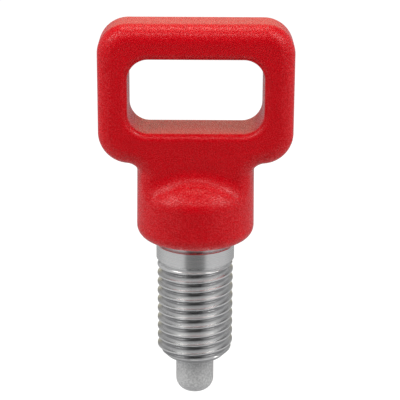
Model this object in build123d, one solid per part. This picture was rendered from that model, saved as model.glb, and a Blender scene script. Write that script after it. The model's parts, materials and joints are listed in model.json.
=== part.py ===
from build123d import *
from math import cos, pi, radians, sin, tan
import os

# Indexing plunger with a loop grip, in millimetres.
# The plunger's axis is Z, and the pin points down. The origin is on the axis, at the upper
# end of the sleeve's thread. The loop of the grip lies in the XZ plane.

# Threaded sleeve
thread_diameter = 12.0
thread_pitch = 1.5
thread_crest_allowance = 0.1
thread_length = 15.56
thread_flank_slope = 30.0
first_groove_below = 0.8
chamfer_past_root = 0.43
relief_width = 0.8
relief_depth = 0.2
collar_over_thread = 0.22
collar_height = 2.4
collar_chamfer = 0.2
neck_under_thread = 0.8
sleeve_top_chamfer = 0.5
sleeve_roof = 3.0
stem_running_gap = 0.05
mouth_chamfer = 0.3

# Indexing pin
pin_diameter = 6.0
pin_running_gap = 0.02
pin_projection = 6.42
nose_radius = 2.1
shear_groove_width = 0.8
shear_groove_depth = 0.2
shank_chamfer = 0.3
stem_end_chamfer = 0.4

# Spring and stroke
stroke = 6.5
spring_wire = 0.7
spring_turns = 11
spring_side_gap = 0.16
spring_reserve = 0.4
closed_coil_gap = 0.02
spring_steps_per_turn = 6

# Hub of the grip
hub_above_collar = 1.0
skirt_hold = 1.3
hub_clearance = 0.2
hub_wall = 3.28
hub_draft = 0.6
hub_foot_round = 2.1
hub_mouth_chamfer = 0.4
shoulder_height = 2.7
shoulder_slope = 20.0
shoulder_dome_radius = 8.0
waist_height = 2.08

# Loop of the grip
window_width = 20.55
window_height = 11.35
window_corner = 3.15
side_bar = 4.58
top_bar = 5.17
rail_below = 5.02
loop_thickness = 10.0
loop_top_corner = 4.6
loop_bottom_corner = 4.8
edge_round = 2.6
shoulder_round = 2.6
waist_round = 1.8
window_edge_round = 1.1

# Moulded-in insert
insert_wall = 1.5
insert_cover = 1.8
insert_groove_width = 1.6
insert_groove_depth = 0.5
insert_chamfer = 0.3
stem_end_gap = 0.8

# Radii that follow
nominal_radius = thread_diameter / 2
crest_radius = nominal_radius - thread_crest_allowance / 2
relief_radius = crest_radius - relief_depth
thread_depth = 0.6134 * thread_pitch
crest_flat = thread_pitch / 8
root_radius = crest_radius - thread_depth
thread_end_chamfer = thread_depth + chamfer_past_root
collar_radius = (thread_diameter + collar_over_thread) / 2
neck_radius = (thread_diameter - neck_under_thread) / 2
pin_radius = pin_diameter / 2
bore_radius = pin_radius + pin_running_gap
stem_radius = bore_radius - spring_wire - 2 * spring_side_gap
stem_hole_radius = stem_radius + stem_running_gap
insert_radius = stem_radius + insert_wall
skirt_radius = neck_radius + hub_clearance
hub_radius = skirt_radius + hub_wall

# Heights that follow
collar_foot = relief_width
collar_top = collar_foot + collar_height
hub_foot = collar_top + hub_above_collar
seat = hub_foot + stroke + skirt_hold
spring_top = seat - sleeve_roof
spring_length = spring_turns * spring_wire + stroke + spring_reserve
spring_foot = spring_top - spring_length
sleeve_end = -thread_length
pin_tip = sleeve_end - pin_projection
shoulder_top = seat + shoulder_height
loop_foot = shoulder_top + waist_height
window_foot = loop_foot + rail_below
window_head = window_foot + window_height
loop_head = window_head + top_bar
loop_width = window_width + 2 * side_bar
insert_top = window_foot - insert_cover


def turned(profile):
    """A solid turned about the Z axis from a list of (radius, height) corners."""
    with BuildPart() as blank:
        with BuildSketch(Plane.XZ):
            with BuildLine():
                Polyline(*profile, close=True)
            make_face()
        revolve(axis=Axis.Z)
    return blank.part


def thread_grooves():
    """Ring grooves at the thread's pitch and of its section, which stand for its helix."""
    flank_run = tan(radians(thread_flank_slope))
    root_half = (thread_pitch - crest_flat) / 2 - thread_depth * flank_run
    mouth_half = root_half + (nominal_radius - root_radius) * flank_run
    lowest = sleeve_end + thread_end_chamfer / 2
    count = int((-first_groove_below - lowest) / thread_pitch) + 1
    ring = turned(
        [
            (root_radius, -root_half),
            (nominal_radius, -mouth_half),
            (nominal_radius, mouth_half),
            (root_radius, root_half),
        ]
    )
    return [Pos(0, 0, -first_groove_below - step * thread_pitch) * ring for step in range(count)]


def threaded_sleeve():
    """Steel sleeve: guide bore from the pin's end, a roof that the spring pushes on."""
    body = turned(
        [
            (0, sleeve_end),
            (crest_radius - thread_end_chamfer, sleeve_end),
            (crest_radius, sleeve_end + thread_end_chamfer),
            (crest_radius, 0),
            (relief_radius, relief_depth),
            (relief_radius, collar_foot - (collar_radius - relief_radius)),
            (collar_radius, collar_foot),
            (collar_radius, collar_top - collar_chamfer),
            (collar_radius - collar_chamfer, collar_top),
            (neck_radius, collar_top),
            (neck_radius, seat - sleeve_top_chamfer),
            (neck_radius - sleeve_top_chamfer, seat),
            (0, seat),
        ]
    )
    bore = turned(
        [
            (0, sleeve_end),
            (bore_radius + mouth_chamfer, sleeve_end),
            (bore_radius, sleeve_end + mouth_chamfer),
            (bore_radius, spring_top),
            (stem_hole_radius, spring_top),
            (stem_hole_radius, seat),
            (0, seat),
        ]
    )
    return body - bore - thread_grooves()


def indexing_pin():
    """Ground pin: rounded nose, guided shank, and a stem that runs up through the spring."""
    groove_radius = pin_radius - shear_groove_depth
    groove_top = sleeve_end + shear_groove_width
    stem_top = insert_top - stem_end_gap
    with BuildPart() as pin:
        with BuildSketch(Plane.XZ):
            with BuildLine():
                nose = Line((0, pin_tip), (pin_radius - nose_radius, pin_tip))
                RadiusArc(nose @ 1, (pin_radius, pin_tip + nose_radius), -nose_radius)
                Polyline(
                    (pin_radius, pin_tip + nose_radius),
                    (pin_radius, sleeve_end),
                    (groove_radius, sleeve_end + shear_groove_depth),
                    (groove_radius, groove_top - shear_groove_depth),
                    (pin_radius, groove_top),
                    (pin_radius, spring_foot - shank_chamfer),
                    (pin_radius - shank_chamfer, spring_foot),
                    (stem_radius, spring_foot),
                    (stem_radius, stem_top - stem_end_chamfer),
                    (stem_radius - stem_end_chamfer, stem_top),
                    (0, stem_top),
                    (0, pin_tip),
                )
            make_face()
        revolve(axis=Axis.Z)
    return pin.part


def coil_height(turn, open_pitch):
    """Height of the wire's centre above the first coil, after so many turns."""
    closed_pitch = spring_wire + closed_coil_gap
    closed = min(turn, 1) + max(turn - (spring_turns - 1), 0)
    return closed * closed_pitch + (turn - closed) * open_pitch


def compression_spring():
    """Right-hand compression spring with closed ends, ground flat, at its fitted length."""
    coil_radius = (bore_radius + stem_radius) / 2
    wire_radius = spring_wire / 2
    closed_pitch = spring_wire + closed_coil_gap
    ground_off = wire_radius / 2
    rise = spring_length - spring_wire + 2 * ground_off
    open_pitch = (rise - 2 * closed_pitch) / (spring_turns - 2)
    start = spring_foot + wire_radius - ground_off
    steps = spring_turns * spring_steps_per_turn
    route = []
    for step in range(steps + 1):
        turn = step / spring_steps_per_turn
        angle = 2 * pi * turn
        height = start + coil_height(turn, open_pitch)
        route.append((coil_radius * cos(angle), coil_radius * sin(angle), height))
    path = Edge.make_spline([Vector(*point) for point in route])
    section = Plane(origin=path @ 0, z_dir=path % 0) * Circle(wire_radius)
    coil = sweep(section, path=path, is_frenet=True)
    room = Pos(0, 0, spring_foot) * Cylinder(
        bore_radius, spring_length, align=(Align.CENTER, Align.CENTER, Align.MIN)
    )
    return coil & room


def insert_body():
    """Outside of the brass insert, with the ring groove that the plastic grips."""
    middle = (seat + insert_top) / 2
    groove_radius = insert_radius - insert_groove_depth
    return turned(
        [
            (0, seat),
            (insert_radius, seat),
            (insert_radius, middle - insert_groove_width / 2),
            (groove_radius, middle - insert_groove_width / 2),
            (groove_radius, middle + insert_groove_width / 2),
            (insert_radius, middle + insert_groove_width / 2),
            (insert_radius, insert_top - insert_chamfer),
            (insert_radius - insert_chamfer, insert_top),
            (0, insert_top),
        ]
    )


def grip_insert():
    """Brass insert that the stem's threaded end is screwed into."""
    stem_bore = Pos(0, 0, seat) * Cylinder(
        stem_radius,
        insert_top - stem_end_gap - seat,
        align=(Align.CENTER, Align.CENTER, Align.MIN),
    )
    return insert_body() - stem_bore


def rounded_block(width, foot, head, bottom_corner, top_corner, thickness):
    """A plate in the XZ plane with its own radius at the lower and the upper corners."""
    with BuildPart() as plate:
        with BuildSketch(Plane.XZ) as outline:
            with BuildLine():
                Polyline(
                    (-width / 2, foot),
                    (width / 2, foot),
                    (width / 2, head),
                    (-width / 2, head),
                    close=True,
                )
            make_face()
            corners = outline.vertices().group_by(Axis.Y)
            fillet(corners[0], bottom_corner)
            corners = outline.vertices().group_by(Axis.Y)
            fillet(corners[-1], top_corner)
        extrude(amount=thickness / 2, both=True)
    return plate.part


def hub_post():
    """The drafted round hub, up into the loop, with a domed shoulder cut in its front and back."""
    slope = radians(shoulder_slope)
    dome_centre = loop_thickness / 2 - shoulder_dome_radius * sin(slope)
    dome_foot = shoulder_top - shoulder_dome_radius * cos(slope)
    dome_crown = dome_foot + shoulder_dome_radius
    foot_radius = hub_radius + (shoulder_top - hub_foot) / 2 * tan(radians(hub_draft))
    post_height = loop_foot + rail_below / 2 - hub_foot
    post = Pos(0, 0, hub_foot) * Cone(
        foot_radius,
        foot_radius - post_height * tan(radians(hub_draft)),
        post_height,
        align=(Align.CENTER, Align.CENTER, Align.MIN),
    )
    with BuildPart() as dome:
        with BuildSketch(Plane.XZ):
            with BuildLine():
                Polyline(
                    (dome_centre + shoulder_dome_radius, dome_foot),
                    (0, dome_foot),
                    (0, dome_crown),
                    (dome_centre, dome_crown),
                )
                CenterArc((dome_centre, dome_foot), shoulder_dome_radius, 0, 90)
            make_face()
        revolve(axis=Axis.Z)
    for side in (-1, 1):
        space = Pos(0, side * loop_thickness / 2, dome_foot) * Box(
            4 * hub_radius,
            2 * hub_radius,
            2 * post_height,
            align=(Align.CENTER, Align.MIN if side > 0 else Align.MAX, Align.MIN),
        )
        post -= space - dome.part
    return post


def same(a, b):
    """Are two lengths equal, within a micrometre?"""
    return abs(a - b) < 0.001


def on_broad_face(edge):
    """Does this edge lie in the loop's front or back face?"""
    return all(same(abs((edge @ t).Y), loop_thickness / 2) for t in (0, 0.5, 1))


def grip():
    """Moulded grip: the loop, the round hub below it, and the shoulders that join them."""
    body = rounded_block(
        loop_width, loop_foot, loop_head, loop_bottom_corner, loop_top_corner, loop_thickness
    )
    body += hub_post()

    shoulders = [
        e
        for e in body.edges()
        if on_broad_face(e) and (e @ 0.5).Z < loop_foot and abs((e @ 0.5).X) < hub_radius / 2
    ]
    body = fillet(shoulders, shoulder_round)
    waist = [
        e
        for e in body.edges()
        if e.geom_type == GeomType.CIRCLE and same((e @ 0.5).Z, loop_foot) and same((e @ 0).Z, loop_foot)
    ]
    body = fillet(waist, waist_round)
    # The upper rim's round runs on by itself, down both sides and along the shoulder.
    rims = [e for e in body.edges() if on_broad_face(e) and same((e @ 0.5).Z, loop_head)]
    body = fillet(rims, edge_round)

    body -= rounded_block(
        window_width, window_foot, window_head, window_corner, window_corner, 2 * loop_thickness
    )
    sills = [e for e in body.edges() if on_broad_face(e) and same((e @ 0.5).Z, window_foot)]
    body = fillet(sills, window_edge_round)
    foot = body.edges().group_by(Axis.Z)[0]
    body = fillet(foot, hub_foot_round)

    body -= turned(
        [
            (0, hub_foot),
            (skirt_radius + hub_mouth_chamfer, hub_foot),
            (skirt_radius, hub_foot + hub_mouth_chamfer),
            (skirt_radius, seat),
            (0, seat),
        ]
    )
    return body - insert_body()


pieces = {
    "threaded_sleeve": threaded_sleeve(),
    "indexing_pin": indexing_pin(),
    "compression_spring": compression_spring(),
    "grip_insert": grip_insert(),
    "grip": grip(),
}

os.makedirs("parts", exist_ok=True)
for node, shape in pieces.items():
    export_step(shape, os.path.join("parts", node + ".step"))
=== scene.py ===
import json
import math

import bmesh
import bpy
import numpy as np
from mathutils import Matrix, Vector


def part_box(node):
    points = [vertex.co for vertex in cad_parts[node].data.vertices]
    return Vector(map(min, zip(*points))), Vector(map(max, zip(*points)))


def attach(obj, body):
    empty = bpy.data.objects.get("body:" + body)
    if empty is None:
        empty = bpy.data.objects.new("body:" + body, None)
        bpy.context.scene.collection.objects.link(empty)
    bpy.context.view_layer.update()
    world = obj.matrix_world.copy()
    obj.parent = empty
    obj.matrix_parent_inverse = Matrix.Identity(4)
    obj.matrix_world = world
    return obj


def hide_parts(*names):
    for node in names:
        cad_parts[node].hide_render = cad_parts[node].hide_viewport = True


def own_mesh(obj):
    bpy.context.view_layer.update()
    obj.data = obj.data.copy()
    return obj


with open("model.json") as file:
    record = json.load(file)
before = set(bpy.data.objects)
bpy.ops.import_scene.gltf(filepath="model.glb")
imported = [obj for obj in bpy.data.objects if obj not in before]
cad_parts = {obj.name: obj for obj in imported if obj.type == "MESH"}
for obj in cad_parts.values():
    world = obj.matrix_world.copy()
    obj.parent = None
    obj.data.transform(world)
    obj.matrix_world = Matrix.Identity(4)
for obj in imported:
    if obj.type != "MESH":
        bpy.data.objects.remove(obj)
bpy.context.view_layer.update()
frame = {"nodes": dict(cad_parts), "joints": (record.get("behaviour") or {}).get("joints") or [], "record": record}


# Threaded sleeve
# One turned bush of bare steel, with a rolled M12 x 1.5 right-hand thread that starts in a 45
# degree chamfer and runs out into a shallow relief. Above it are a collar and the narrower neck
# that the grip slides on. The bore guides the pin, and its roof is what the spring pushes on.
mm = 0.001
sleeve_low, sleeve_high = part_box("threaded_sleeve")
pin_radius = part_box("indexing_pin")[1].x
thread_mount = next(m for m in frame["record"]["mounts"] if m["name"] == "thread")
collar_radius = sleeve_high.x
neck_radius = 5.6 * mm
crest_radius = thread_mount["dims"]["r_mm"] * mm
thread_pitch = 1.5 * mm
root_round = 0.1443 * thread_pitch
root_radius = crest_radius - 0.58 * thread_pitch
flank_angle = math.radians(60)
crest_edge_blend = 0.04 * mm
groove_at_front = -0.8 * mm
runout_starts = -0.5 * mm
relief_foot = 0.28 * mm
relief_head = 0.42 * mm
collar_foot = 0.8 * mm
collar_top = 3.2 * mm
collar_chamfer = 0.1 * mm
relief_radius = crest_radius - relief_foot * math.tan(flank_angle)
end_chamfer = 1.35 * mm
neck_chamfer = 0.5 * mm
mouth_chamfer = 0.3 * mm
running_gap = 0.02 * mm
roof_thickness = 3.0 * mm
stem_hole_radius = 2.05 * mm
sleeve_around = 144
rows_per_pitch = 24
weld = 1e-6
crease_angle = math.radians(38)


def piece_from(name, points, faces):
    """An object from points and faces: doubles welded, faces turned outwards, smooth between creases."""
    mesh = bpy.data.meshes.new(name)
    shape = bmesh.new()
    corners = [shape.verts.new(p) for p in points]
    for face in faces:
        shape.faces.new([corners[i] for i in face])
    bmesh.ops.remove_doubles(shape, verts=shape.verts, dist=weld)
    bmesh.ops.recalc_face_normals(shape, faces=shape.faces)
    shape.to_mesh(mesh)
    shape.free()
    mesh.shade_smooth()
    mesh.set_sharp_from_angle(angle=crease_angle)
    piece = bpy.data.objects.new(name, mesh)
    bpy.context.scene.collection.objects.link(piece)
    return piece


def thread_radius(from_groove):
    """Radius of the thread at an axial distance from a groove's middle: floor, flank or crest."""
    away = abs((from_groove / thread_pitch + 0.5) % 1 - 0.5) * thread_pitch
    rise = math.tan(flank_angle)
    apex = root_radius - root_round
    flank = apex + away * rise
    groove_floor = root_radius + root_round - np.sqrt(np.maximum(root_round**2 - away**2, 0))
    below = np.where(away < root_round * math.sin(flank_angle), groove_floor, flank)
    near_edge = np.maximum(crest_edge_blend - abs(below - crest_radius), 0) / crest_edge_blend
    return np.minimum(below, crest_radius) - near_edge**2 * crest_edge_blend / 4


def sleeve_radius(angle, height):
    """Radius of the threaded part: thread, run-out, upper taper into the relief, end chamfer."""
    along = height - groove_at_front - thread_pitch * (angle + math.pi / 2) / (2 * math.pi)
    cut = crest_radius - thread_radius(along)
    fade = np.clip((relief_foot - height) / (relief_foot - runout_starts), 0, 1)
    threaded = crest_radius - cut * fade * fade * (3 - 2 * fade)
    taper = crest_radius - np.maximum(height, 0) * math.tan(flank_angle)
    chamfer = crest_radius - end_chamfer + (height - sleeve_low.z)
    return np.minimum(np.minimum(threaded, taper), chamfer)


angles = np.arange(sleeve_around) * 2 * math.pi / sleeve_around
row_step = thread_pitch / rows_per_pitch
row_count = math.ceil((relief_foot - sleeve_low.z) / row_step) + 2 * rows_per_pitch
row_heights = sleeve_low.z - thread_pitch + np.arange(row_count) * row_step
heights = row_heights[:, None] + thread_pitch * angles[None, :] / (2 * math.pi)
heights = np.clip(heights, sleeve_low.z, relief_foot)
radii = sleeve_radius(angles[None, :], heights)
helix_points = np.stack([radii * np.cos(angles), radii * np.sin(angles), heights], -1).reshape(-1, 3)
helix_faces = []
for row in range(row_count - 1):
    for step in range(sleeve_around):
        lift = rows_per_pitch if step == sleeve_around - 1 else 0
        if row + lift + 1 < row_count:
            here = row * sleeve_around + step
            beyond = (row + lift) * sleeve_around + (step + 1) % sleeve_around
            helix_faces.append((here, beyond, beyond + sleeve_around, here + sleeve_around))

bore_radius = pin_radius + running_gap
plain_outline = [
    (relief_radius, relief_foot),
    (relief_radius, relief_head),
    (collar_radius, collar_foot),
    (collar_radius, collar_top - collar_chamfer),
    (collar_radius - collar_chamfer, collar_top),
    (neck_radius, collar_top),
    (neck_radius, sleeve_high.z - neck_chamfer),
    (neck_radius - neck_chamfer, sleeve_high.z),
    (stem_hole_radius, sleeve_high.z),
    (stem_hole_radius, sleeve_high.z - roof_thickness),
    (bore_radius, sleeve_high.z - roof_thickness),
    (bore_radius, sleeve_low.z + mouth_chamfer),
    (bore_radius + mouth_chamfer, sleeve_low.z),
    (crest_radius - end_chamfer, sleeve_low.z),
]


def lathe(outline, angles, first=0):
    """Points and faces of an outline of (radius, height) turned about Z, numbered from first."""
    points = [(r * math.cos(a), r * math.sin(a), z) for r, z in outline for a in angles]
    count = len(angles)
    faces = []
    for ring in range(len(outline) - 1):
        for step in range(count):
            here = first + ring * count + step
            beyond = first + ring * count + (step + 1) % count
            faces.append((here, beyond, beyond + count, here + count))
    return points, faces


plain_points, plain_faces = lathe(plain_outline, angles, len(helix_points))
sleeve = piece_from(
    "sleeve_with_thread", [*helix_points.tolist(), *plain_points], helix_faces + plain_faces
)


class Wire:
    """A socket in a material. Arithmetic on it adds the nodes that work the value out."""

    def __init__(self, tree, socket=None):
        self.tree = tree
        self.socket = socket

    def node(self, kind, settings=None, inputs=None, out=0):
        """Any node: its type, its settings, the values or links of its sockets, and the output kept."""
        made = self.tree.nodes.new("ShaderNode" + kind)
        for name, value in (settings or {}).items():
            setattr(made, name, value)
        for name, value in (inputs or {}).items():
            if isinstance(value, Wire):
                self.tree.links.new(value.socket, made.inputs[name])
            else:
                made.inputs[name].default_value = value
        return Wire(self.tree, made.outputs[out] if made.outputs else None)

    def worked_out(self, operation, a, b):
        return self.node("Math", {"operation": operation}, {0: a, 1: b})

    def __add__(self, other):
        return self.worked_out("ADD", self, other)

    def __sub__(self, other):
        return self.worked_out("SUBTRACT", self, other)

    def __rsub__(self, other):
        return self.worked_out("SUBTRACT", other, self)

    def __mul__(self, other):
        return self.worked_out("MULTIPLY", self, other)

    def __truediv__(self, other):
        return self.worked_out("DIVIDE", self, other)

    def __abs__(self):
        return self.worked_out("ABSOLUTE", self, 0.0)

    __radd__ = __add__
    __rmul__ = __mul__

    def held(self):
        """The value, held between 0 and 1."""
        return self.node("Clamp", None, {"Value": self})

    def between(self, low, high):
        """0 where the value is low, 1 where it is high, and smooth between."""
        settings = {"interpolation_type": "SMOOTHSTEP"}
        return self.node("MapRange", settings, {"Value": self, "From Min": low, "From Max": high})

    def tint(self, shade, other):
        """A colour: shade where the value is 0, other where it is 1."""
        return self.node("Mix", {"data_type": "RGBA"}, {0: self, 6: shade, 7: other}, 2)

    def stretched(self, x, y, z):
        """A vector with each of its parts scaled."""
        return self.node("VectorMath", {"operation": "MULTIPLY"}, {0: self, 1: (x, y, z)})

    def noise(self, scale, detail=2.0, roughness=0.5):
        """Cloudy noise at this place, with so many lumps to the metre."""
        inputs = {"Vector": self, "Scale": scale, "Detail": detail, "Roughness": roughness}
        return self.node("TexNoise", None, inputs, "Fac")

    def axis(self, letter):
        """One part of a vector."""
        return self.node("SeparateXYZ", None, {0: self}, letter)

    def bump(self, depth, strength=1.0):
        """A normal that stands up where the value is high, by this depth in metres."""
        inputs = {"Height": self, "Distance": depth, "Strength": strength}
        return self.node("Bump", None, inputs, "Normal")


def new_finish(name):
    """An empty material, and the start of its wiring."""
    material = bpy.data.materials.new(name)
    material.use_nodes = True
    material.node_tree.nodes.clear()
    return material, Wire(material.node_tree)


def coat_with(piece, material):
    """Gives all of a piece one material."""
    piece.data.materials.clear()
    piece.data.materials.append(material)


# The turning marks run round the axis, so they are fine along it and long across it.
steel, start = new_finish("turned_steel")
place = start.node("TexCoord", None, None, "Object")
turning_marks = place.stretched(30, 30, 9000).noise(1.0, 3.0)
broad_marks = place.stretched(60, 60, 1700).noise(1.0, 2.0)
cloud = place.noise(260, 3.0)
from_axis = start.node("VectorMath", {"operation": "LENGTH"}, {0: place.stretched(1, 1, 0)}, "Value")
# Painted shade: the steel is painted darker towards the roots of the grooves, where the flanks shade them. The
# cloud adds random tone.
groove_shade_starts = crest_radius - 0.5 * mm
groove_shade_mask = from_axis.between(groove_shade_starts, root_radius)
plain_steel = (0.83, 0.83, 0.835, 1)
painted_groove_shade = (0.25, 0.25, 0.26, 1)
tone_and_groove_shade = (groove_shade_mask * 0.7 + cloud * 0.2).tint(plain_steel, painted_groove_shade)
mark_depth = 0.004 * mm
marks = turning_marks * 0.6 + broad_marks * 0.4
shader = start.node(
    "BsdfPrincipled",
    None,
    {
        "Base Color": tone_and_groove_shade,
        "Metallic": 1.0,
        "Roughness": 0.21 + broad_marks * 0.12,
        "Anisotropic": 0.6,
        "Anisotropic Rotation": 0.25,
        "Normal": marks.bump(mark_depth, 0.6),
    },
)
start.node("OutputMaterial", None, {"Surface": shader})
coat_with(sleeve, steel)
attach(sleeve, "sleeve")
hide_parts("threaded_sleeve")


# Indexing pin
# A hardened pin, centreless ground to 6 mm and left dull, with a round nose. Its stem runs up
# through the spring and the sleeve's roof, and is screwed into the grip.
dull_steel, start = new_finish("ground_steel")
place = start.node("TexCoord", None, None, "Object")
grinding = place.stretched(2600, 2600, 900).noise(1.0, 3.0)
grit = place.noise(3600, 1.0).between(0.3, 0.7)
cloud = place.noise(420, 2.0)
dark_grit = (0.62, 0.62, 0.625, 1)
pale_grit = (0.90, 0.90, 0.905, 1)
grinding_depth = 0.003 * mm
shader = start.node(
    "BsdfPrincipled",
    None,
    {
        "Base Color": (cloud * 0.4 + grit * 0.6).tint(dark_grit, pale_grit),
        "Metallic": 1.0,
        "Roughness": 0.72 + grinding * 0.12,
        "Normal": grinding.bump(grinding_depth, 0.5),
    },
)
start.node("OutputMaterial", None, {"Surface": shader})
coat_with(frame["nodes"]["indexing_pin"], dull_steel)


# Compression spring
# Right-hand coil of drawn spring wire, wound round the pin's stem. Both end coils are closed and
# ground flat: one presses on the pin's shoulder, the other on the roof of the sleeve.
spring_low, spring_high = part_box("compression_spring")
wire_diameter = 0.7 * mm
closed_coil_gap = 0.02 * mm
spring_turns = 11
travel = next(j for j in frame["joints"] if j["name"] == "pull")["range_m"][1]
coil_radius = spring_high.x - wire_diameter / 2
ground_off = wire_diameter / 4
closed_pitch = wire_diameter + closed_coil_gap
spring_length = spring_high.z - spring_low.z
rise = spring_length - wire_diameter + 2 * ground_off
open_pitch = (rise - 2 * closed_pitch) / (spring_turns - 2)
steps_per_turn = 40
wire_around = 16
spring_points = []
spring_faces = []
for step in range(spring_turns * steps_per_turn + 1):
    turn = step / steps_per_turn
    closed = min(turn, 1) + max(turn - (spring_turns - 1), 0)
    height = spring_low.z + wire_diameter / 2 - ground_off
    height += closed * closed_pitch + (turn - closed) * open_pitch
    for corner in range(wire_around):
        roll = 2 * math.pi * corner / wire_around
        reach = coil_radius + wire_diameter / 2 * math.cos(roll)
        level = height + wire_diameter / 2 * math.sin(roll)
        level = min(max(level, spring_low.z), spring_high.z)
        swing = 2 * math.pi * turn
        spring_points.append((reach * math.cos(swing), reach * math.sin(swing), level))
        if step:
            here = step * wire_around + corner
            beside = step * wire_around + (corner + 1) % wire_around
            spring_faces.append((here, beside, beside - wire_around, here - wire_around))
spring_faces.append(tuple(range(wire_around)))
spring_faces.append(tuple(range(len(spring_points) - wire_around, len(spring_points))))
spring = piece_from("wound_spring", spring_points, spring_faces)

wire_steel, start = new_finish("spring_wire")
place = start.node("TexCoord", None, None, "Object")
drawing_lines = place.stretched(4000, 4000, 4000).noise(1.0, 2.0)
shader = start.node(
    "BsdfPrincipled",
    None,
    {
        "Base Color": drawing_lines.tint((0.50, 0.50, 0.52, 1), (0.60, 0.60, 0.62, 1)),
        "Metallic": 1.0,
        "Roughness": 0.28 + drawing_lines * 0.1,
    },
)
start.node("OutputMaterial", None, {"Surface": shader})
coat_with(spring, wire_steel)
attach(spring, "spring")
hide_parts("compression_spring")
(spring_length - travel) / spring_length
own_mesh(spring)


# Moulded-in insert
# A turned brass insert, ringed by a groove that the plastic grips. The pin's stem is screwed
# into it, and its lower face rests on top of the sleeve.
brass, start = new_finish("turned_brass")
place = start.node("TexCoord", None, None, "Object")
rings = place.stretched(30, 30, 6000).noise(1.0, 3.0)
shader = start.node(
    "BsdfPrincipled",
    None,
    {
        "Base Color": rings.tint((0.70, 0.50, 0.21, 1), (0.80, 0.62, 0.30, 1)),
        "Metallic": 1.0,
        "Roughness": 0.25 + rings * 0.15,
        "Normal": rings.bump(0.004 * mm, 0.5),
    },
)
start.node("OutputMaterial", None, {"Surface": shader})
coat_with(frame["nodes"]["grip_insert"], brass)


# Loop grip
# One moulding of red glass-filled polyamide, with the fine sand-like grain that spark erosion
# leaves in the mould. It is moulded round the insert, and its hub slides over the sleeve's neck.
plastic, start = new_finish("red_polyamide")
place = start.node("TexCoord", None, None, "Object")
grain = place.noise(6200, 1.0, 0.6)
fine_grain = place.noise(9000, 2.0, 0.6)
flow = place.noise(120, 2.0)
peaks = grain.between(0.47, 0.61)
deep_red = (0.46, 0.0001, 0.004, 1)
bright_red = (0.72, 0.002, 0.011, 1)
grain_depth = 0.12 * mm
shader = start.node(
    "BsdfPrincipled",
    None,
    {
        "Base Color": (flow * 0.3 + peaks * 0.4).tint(deep_red, bright_red),
        "Roughness": 0.22,
        "Coat Weight": 0.1 + peaks * 0.65,
        "Coat Roughness": 0.31,
        "IOR": 1.5,
        "Specular IOR Level": 0.07,
        "Normal": (grain * 0.8 + fine_grain * 0.2).bump(grain_depth),
    },
)
start.node("OutputMaterial", None, {"Surface": shader})
coat_with(frame["nodes"]["grip"], plastic)


# Studio floor
# A white sheet well below the part. The camera sees it white. Polished metal sees it bright near
# the part and dim in a lane straight ahead, like the open front of a light tent.
floor_drop = 0.12
floor_half = 15.0
lane_start = (0.16, 0.28)
lane_edge = (0.42, 0.58)
lane_foot = 0.05
fade_behind = (0.0, 0.3)
near_glow = 0.60
behind_glow = 0.44
lane_glow = 0.12
black = (0, 0, 0, 1)
full_white = (1, 1, 1, 1)
corners = ((-1, -1), (1, -1), (1, 1), (-1, 1))
floor_points = [(x * floor_half, y * floor_half, -floor_drop) for x, y in corners]
floor = piece_from("floor", floor_points, [(0, 1, 2, 3)])
white_sheet, start = new_finish("white_sheet")
by_camera = start.node("LightPath", None, None, "Is Camera Ray")
by_gloss = start.node("LightPath", None, None, "Is Glossy Ray")
by_glass = start.node("LightPath", None, None, "Is Transmission Ray")
place = start.node("TexCoord", None, None, "Object")
ahead = 0 - place.axis("Y")
sideways = abs(place.axis("X"))
dim_lane = ahead.between(*lane_start) * (1 - (sideways / (ahead + lane_foot)).between(*lane_edge))
behind = place.axis("Y").between(*fade_behind)
open_floor = near_glow - behind * (near_glow - behind_glow)
floor_glow = open_floor * (1 - dim_lane) + dim_lane * lane_glow
diffuse = start.node("BsdfDiffuse", None, {"Color": (0.8, 0.8, 0.8, 1)})
metal_sees = start.node("Emission", None, {"Color": floor_glow.tint(black, full_white)})
backdrop = start.node("Emission", None, {"Color": full_white, "Strength": 1.2})
bounced = start.node("MixShader", None, {0: (by_gloss + by_glass).held(), 1: diffuse, 2: metal_sees})
shader = start.node("MixShader", None, {0: by_camera * 0.85, 1: bounced, 2: backdrop})
start.node("OutputMaterial", None, {"Surface": shader})
coat_with(floor, white_sheet)


# Studio light
# A tent of soft light: bright and a little warm at the back, softer at the sides, and dark in
# front, where the camera stands. Wide lamps hang high on either side, in front and overhead.
back_wall_edge = (0.15, 0.5)
back_wall_top = (0.65, 0.95)
side_wall_edge = (0.2, 0.7)
side_wall_top = (0.4, 0.8)
side_wall_glow = 0.6
unlit_glow = 0.01
warm_cloth = (0.78, 0.74, 0.58, 1)
world = bpy.data.worlds.new("tent")
bpy.context.scene.world = world
world.use_nodes = True
world.node_tree.nodes.clear()
start = Wire(world.node_tree)
toward = start.node("TexCoord", None, None, "Generated")
back = toward.axis("Y")
up = toward.axis("Z")
side = abs(toward.axis("X"))
by_camera = start.node("LightPath", None, None, "Is Camera Ray")
past_back_wall = (side / (back.held() + 0.02)).between(*back_wall_edge)
back_wall = (1 - past_back_wall) * (1 - up.between(*back_wall_top))
side_walls = side.between(*side_wall_edge) * (1 - up.between(*side_wall_top))
side_light = (unlit_glow + side_walls * side_wall_glow).tint(black, full_white)
cloth = start.node("Background", None, {"Color": back_wall.tint(side_light, warm_cloth)})
white_wall = start.node("Background", None, {"Color": full_white})
surface = start.node("MixShader", None, {0: by_camera, 1: cloth, 2: white_wall})
start.node("OutputWorld", None, {"Surface": surface})

aim = Vector((0.0007, 0, 0.010))
lamp_distance = 0.5
near_white = (1, 1, 0.96)
warm_white = (1, 0.98, 0.85)
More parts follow.
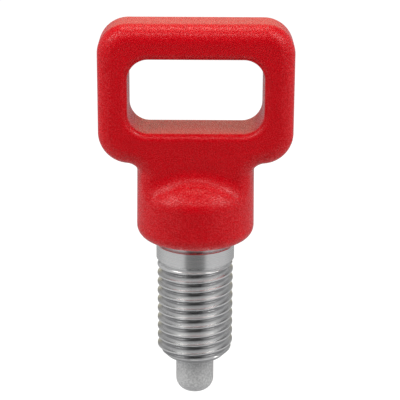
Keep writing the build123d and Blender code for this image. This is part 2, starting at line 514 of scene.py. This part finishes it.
# Azimuth 0 is in front, and 90 to the right. The radiance is that of the lamp's face. The wings
# fill the plastic's sides, and nothing mirrors them.
for name, azimuth, elevation, width, height, radiance, tint, mirrored in (
    ("lamp_left", -62, 46, 0.23, 0.32, 5.4, near_white, True),
    ("lamp_right", 62, 46, 0.23, 0.32, 5.6, near_white, True),
    ("lamp_above", 180, 80, 0.32, 0.26, 4.6, warm_white, True),
    ("lamp_front", 0, 55, 0.30, 0.14, 3.2, near_white, True),
    ("wing_left", -100, 12, 0.25, 0.30, 2.8, near_white, False),
    ("wing_right", 100, 12, 0.25, 0.30, 2.8, near_white, False),
):
    lamp_data = bpy.data.lights.new(name, "AREA")
    lamp_data.shape = "RECTANGLE"
    lamp_data.size = width
    lamp_data.size_y = height
    lamp_data.energy = radiance * math.pi * width * height
    lamp_data.color = tint
    lamp = bpy.data.objects.new(name, lamp_data)
    lamp.visible_glossy = mirrored
    bpy.context.scene.collection.objects.link(lamp)
    turn = math.radians(azimuth)
    climb = math.radians(elevation)
    away = Vector((math.sin(turn) * math.cos(climb), -math.cos(turn) * math.cos(climb), math.sin(climb)))
    lamp.location = aim + away * lamp_distance
    lamp.rotation_mode = "QUATERNION"
    lamp.rotation_quaternion = away.to_track_quat("Z", "Y")


# Camera
# A long lens at product-photograph distance. It stands in front, 18 degrees above the part, and
# is rolled a little, as in the photograph.
camera_distance = 0.2406
camera_elevation = math.radians(18)
camera_roll = math.radians(0.3)
camera_data = bpy.data.cameras.new("camera")
camera_data.lens = 139.2
camera_data.sensor_width = 36
camera_data.clip_start = 0.01
camera_data.clip_end = 60
camera = bpy.data.objects.new("camera", camera_data)
bpy.context.scene.collection.objects.link(camera)
away = Vector((0, -math.cos(camera_elevation), math.sin(camera_elevation)))
camera.rotation_mode = "QUATERNION"
turned = away.to_track_quat("Z", "Y").to_matrix().to_4x4() @ Matrix.Rotation(camera_roll, 4, "Z")
camera.rotation_quaternion = turned.to_quaternion()
camera.location = aim + away * camera_distance
bpy.context.scene.camera = camera
bpy.context.scene.view_settings.view_transform = "Standard"
